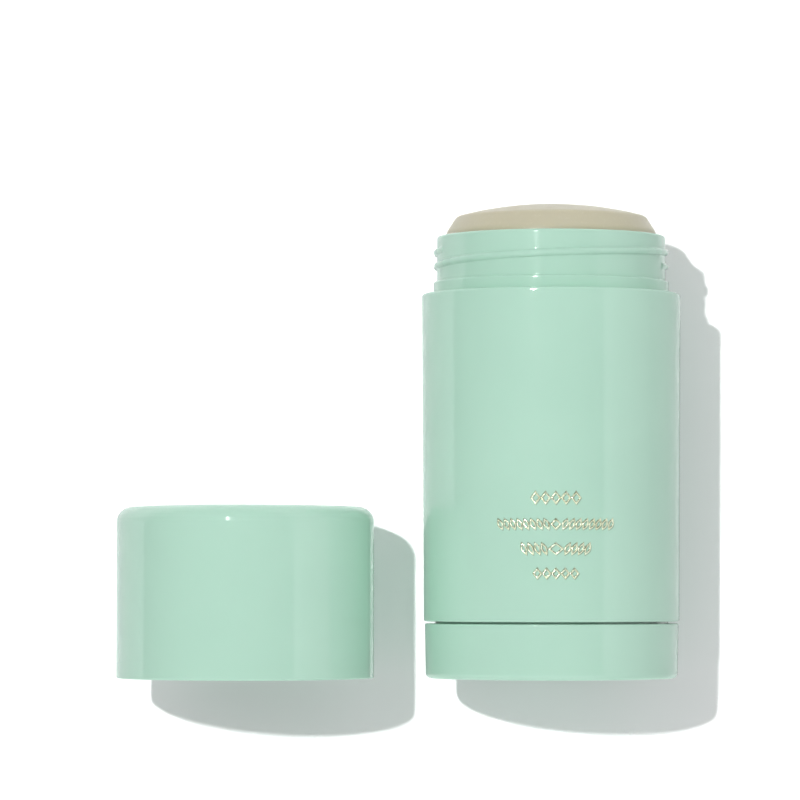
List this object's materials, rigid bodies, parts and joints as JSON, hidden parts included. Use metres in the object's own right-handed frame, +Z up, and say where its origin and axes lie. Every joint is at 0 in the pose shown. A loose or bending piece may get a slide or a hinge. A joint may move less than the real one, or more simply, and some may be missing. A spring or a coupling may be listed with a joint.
{
  "type": "deodorant stick",
  "caption": "Round twist-up deodorant stick in a double-walled barrel, with its screw cap standing beside it.",
  "frame": {"origin": "middle of the dial's flat underside, on the barrel's axis", "axes": "+Z up along the barrel's axis, +X to the right as in the picture with the cap at -X, -Y towards the viewer"},
  "size_m": [0.1105, 0.0506, 0.0927],
  "materials": {
    "mint_plastic": "polished gloss",
    "natural_plastic": "as moulded",
    "stick": "waxy",
    "gold_foil": "hot-stamped foil"
  },
  "bodies": {
    "barrel": {"outer_sleeve": "mint_plastic", "inner_barrel": "mint_plastic", "cap": "mint_plastic"},
    "dial": {"base_dial": "mint_plastic", "screw_spindle": "natural_plastic"},
    "carriage": {"elevator": "natural_plastic", "deodorant_stick": "stick"}
  },
  "joints": [
    {"name": "dial_turn", "type": "hinge", "parent": "barrel", "child": "dial", "pos_m": [0, 0, 0], "axis": [0, 0, 1], "range_deg": [0, 3018]},
    {"name": "stick_lift", "type": "slide", "parent": "barrel", "child": "carriage", "axis": [0, 0, 1], "range_m": [0, 0.0503]}
  ],
  "couplings": [
    {"joint": "dial_turn", "follows": "stick_lift", "rad_per_m": 1047.2}
  ]
}
